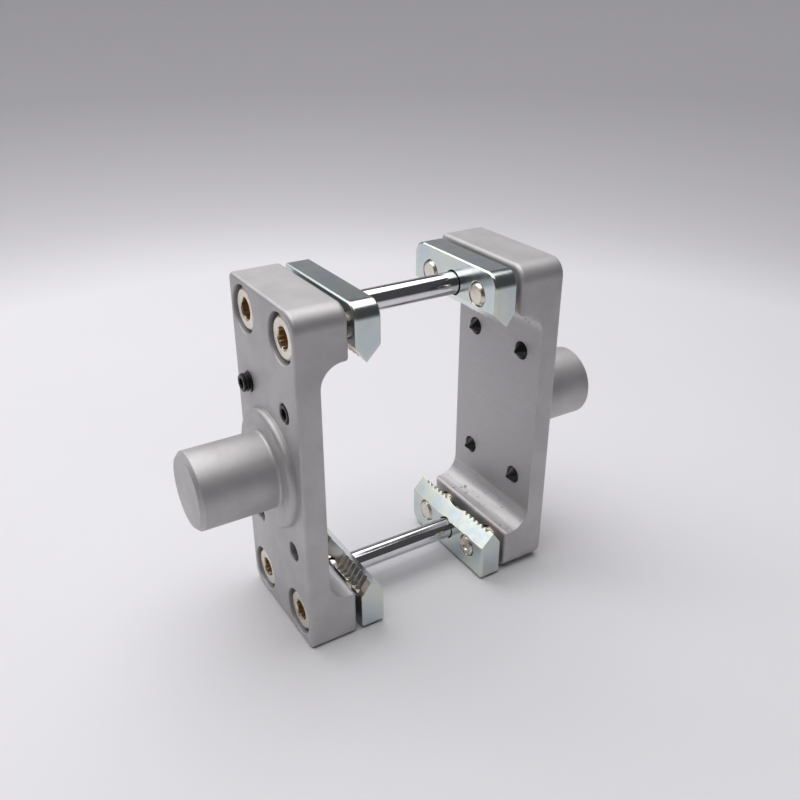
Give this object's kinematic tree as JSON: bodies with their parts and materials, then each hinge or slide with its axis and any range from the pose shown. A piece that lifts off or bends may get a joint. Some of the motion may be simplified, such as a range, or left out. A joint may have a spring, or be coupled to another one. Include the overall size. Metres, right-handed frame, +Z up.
{
  "type": "cylinder trunnion mounting clamp",
  "caption": "Clamp-on centre trunnion mount: two U-shaped brackets with round pins, joined by guide rods, grip a cylinder barrel between ridged clamp plates.",
  "frame": {"origin": "middle of the trunnion axis, midway between the two brackets", "axes": "+X along the trunnion axis, Y along the cylinder barrel, +Z up through the legs of the brackets"},
  "size_m": [0.0952, 0.0288, 0.0734],
  "materials": {
    "cast_aluminium": "satin, bead blasted, with milled inner faces",
    "zinc_plate": "zinc plated steel with a thin blue-yellow passivation",
    "ground_rod": "ground and polished",
    "nickel_screw": "nickel plated steel",
    "black_screw": "black oxide steel"
  },
  "bodies": {
    "left_bracket": {"left_bracket": "cast_aluminium"},
    "right_bracket": {"right_bracket": "cast_aluminium"},
    "left_bottom_clamp": {"left_bottom_clamp": "zinc_plate"},
    "left_top_clamp": {"left_top_clamp": "zinc_plate"},
    "right_bottom_clamp": {"right_bottom_clamp": "zinc_plate"},
    "right_top_clamp": {"right_top_clamp": "zinc_plate"},
    "bottom_rod": {"bottom_rod": "ground_rod"},
    "top_rod": {"top_rod": "ground_rod"},
    "left_bottom_front_cap_screw": {"left_bottom_front_cap_screw": "nickel_screw"},
    "left_bottom_front_set_screw": {"left_bottom_front_set_screw": "black_screw"},
    "left_bottom_back_cap_screw": {"left_bottom_back_cap_screw": "nickel_screw"},
    "left_bottom_back_set_screw": {"left_bottom_back_set_screw": "black_screw"},
    "left_top_front_cap_screw": {"left_top_front_cap_screw": "nickel_screw"},
    "left_top_front_set_screw": {"left_top_front_set_screw": "black_screw"},
    "left_top_back_cap_screw": {"left_top_back_cap_screw": "nickel_screw"},
    "left_top_back_set_screw": {"left_top_back_set_screw": "black_screw"},
    "right_bottom_front_cap_screw": {"right_bottom_front_cap_screw": "nickel_screw"},
    "right_bottom_front_set_screw": {"right_bottom_front_set_screw": "black_screw"},
    "right_bottom_back_cap_screw": {"right_bottom_back_cap_screw": "nickel_screw"},
    "right_bottom_back_set_screw": {"right_bottom_back_set_screw": "black_screw"},
    "right_top_front_cap_screw": {"right_top_front_cap_screw": "nickel_screw"},
    "right_top_front_set_screw": {"right_top_front_set_screw": "black_screw"},
    "right_top_back_cap_screw": {"right_top_back_cap_screw": "nickel_screw"},
    "right_top_back_set_screw": {"right_top_back_set_screw": "black_screw"}
  },
  "joints": [
    {"name": "right_half_slide", "type": "slide", "parent": "left_bracket", "child": "right_bracket", "axis": [1, 0, 0], "range_m": [-0.0005, 0.004]},
    {"name": "bottom_rod_slide", "type": "slide", "parent": "left_bracket", "child": "bottom_rod", "axis": [1, 0, 0], "range_m": [-0.0005, 0.0005]},
    {"name": "top_rod_slide", "type": "slide", "parent": "left_bracket", "child": "top_rod", "axis": [1, 0, 0], "range_m": [-0.0005, 0.0005]},
    {"name": "left_bottom_front_cap_screw_turn", "type": "hinge", "parent": "left_bracket", "child": "left_bottom_front_cap_screw", "pos_m": [-0.0245, -0.0084, -0.0307], "axis": [1, 0, 0], "range_deg": [-455, 455]},
    {"name": "left_bottom_back_cap_screw_turn", "type": "hinge", "parent": "left_bracket", "child": "left_bottom_back_cap_screw", "pos_m": [-0.0245, 0.0084, -0.0307], "axis": [1, 0, 0], "range_deg": [-455, 455]},
    {"name": "left_bottom_clamp_slide", "type": "slide", "parent": "left_bracket", "child": "left_bottom_clamp", "axis": [1, 0, 0], "range_m": [-0.001, 0.001]},
    {"name": "left_bottom_front_set_screw_slide", "type": "slide", "parent": "left_bracket", "child": "left_bottom_front_set_screw", "axis": [1, 0, 0], "range_m": [-0.0012, 0.0012]},
    {"name": "left_bottom_back_set_screw_slide", "type": "slide", "parent": "left_bracket", "child": "left_bottom_back_set_screw", "axis": [1, 0, 0], "range_m": [-0.0012, 0.0012]},
    {"name": "left_top_front_cap_screw_turn", "type": "hinge", "parent": "left_bracket", "child": "left_top_front_cap_screw", "pos_m": [-0.0245, -0.0084, 0.0307], "axis": [1, 0, 0], "range_deg": [-455, 455]},
    {"name": "left_top_back_cap_screw_turn", "type": "hinge", "parent": "left_bracket", "child": "left_top_back_cap_screw", "pos_m": [-0.0245, 0.0084, 0.0307], "axis": [1, 0, 0], "range_deg": [-455, 455]},
    {"name": "left_top_clamp_slide", "type": "slide", "parent": "left_bracket", "child": "left_top_clamp", "axis": [1, 0, 0], "range_m": [-0.001, 0.001]},
    {"name": "left_top_front_set_screw_slide", "type": "slide", "parent": "left_bracket", "child": "left_top_front_set_screw", "axis": [1, 0, 0], "range_m": [-0.0012, 0.0012]},
    {"name": "left_top_back_set_screw_slide", "type": "slide", "parent": "left_bracket", "child": "left_top_back_set_screw", "axis": [1, 0, 0], "range_m": [-0.0012, 0.0012]},
    {"name": "right_bottom_front_cap_screw_turn", "type": "hinge", "parent": "right_bracket", "child": "right_bottom_front_cap_screw", "pos_m": [0.0245, -0.0084, -0.0307], "axis": [1, 0, 0], "range_deg": [-455, 455]},
    {"name": "right_bottom_back_cap_screw_turn", "type": "hinge", "parent": "right_bracket", "child": "right_bottom_back_cap_screw", "pos_m": [0.0245, 0.0084, -0.0307], "axis": [1, 0, 0], "range_deg": [-455, 455]},
    {"name": "right_bottom_clamp_slide", "type": "slide", "parent": "right_bracket", "child": "right_bottom_clamp", "axis": [1, 0, 0], "range_m": [-0.001, 0.001]},
    {"name": "right_bottom_front_set_screw_slide", "type": "slide", "parent": "right_bracket", "child": "right_bottom_front_set_screw", "axis": [1, 0, 0], "range_m": [-0.0012, 0.0012]},
    {"name": "right_bottom_back_set_screw_slide", "type": "slide", "parent": "right_bracket", "child": "right_bottom_back_set_screw", "axis": [1, 0, 0], "range_m": [-0.0012, 0.0012]},
    {"name": "right_top_front_cap_screw_turn", "type": "hinge", "parent": "right_bracket", "child": "right_top_front_cap_screw", "pos_m": [0.0245, -0.0084, 0.0307], "axis": [1, 0, 0], "range_deg": [-455, 455]},
    {"name": "right_top_back_cap_screw_turn", "type": "hinge", "parent": "right_bracket", "child": "right_top_back_cap_screw", "pos_m": [0.0245, 0.0084, 0.0307], "axis": [1, 0, 0], "range_deg": [-455, 455]},
    {"name": "right_top_clamp_slide", "type": "slide", "parent": "right_bracket", "child": "right_top_clamp", "axis": [1, 0, 0], "range_m": [-0.001, 0.001]},
    {"name": "right_top_front_set_screw_slide", "type": "slide", "parent": "right_bracket", "child": "right_top_front_set_screw", "axis": [1, 0, 0], "range_m": [-0.0012, 0.0012]},
    {"name": "right_top_back_set_screw_slide", "type": "slide", "parent": "right_bracket", "child": "right_top_back_set_screw", "axis": [1, 0, 0], "range_m": [-0.0012, 0.0012]}
  ],
  "couplings": [
    {"joint": "left_bottom_front_cap_screw_turn", "follows": "left_bottom_clamp_slide", "rad_per_m": -7854},
    {"joint": "left_bottom_back_cap_screw_turn", "follows": "left_bottom_clamp_slide", "rad_per_m": -7854},
    {"joint": "left_top_front_cap_screw_turn", "follows": "left_top_clamp_slide", "rad_per_m": -7854},
    {"joint": "left_top_back_cap_screw_turn", "follows": "left_top_clamp_slide", "rad_per_m": -7854},
    {"joint": "right_bottom_front_cap_screw_turn", "follows": "right_bottom_clamp_slide", "rad_per_m": -7854},
    {"joint": "right_bottom_back_cap_screw_turn", "follows": "right_bottom_clamp_slide", "rad_per_m": -7854},
    {"joint": "right_top_front_cap_screw_turn", "follows": "right_top_clamp_slide", "rad_per_m": -7854},
    {"joint": "right_top_back_cap_screw_turn", "follows": "right_top_clamp_slide", "rad_per_m": -7854}
  ]
}
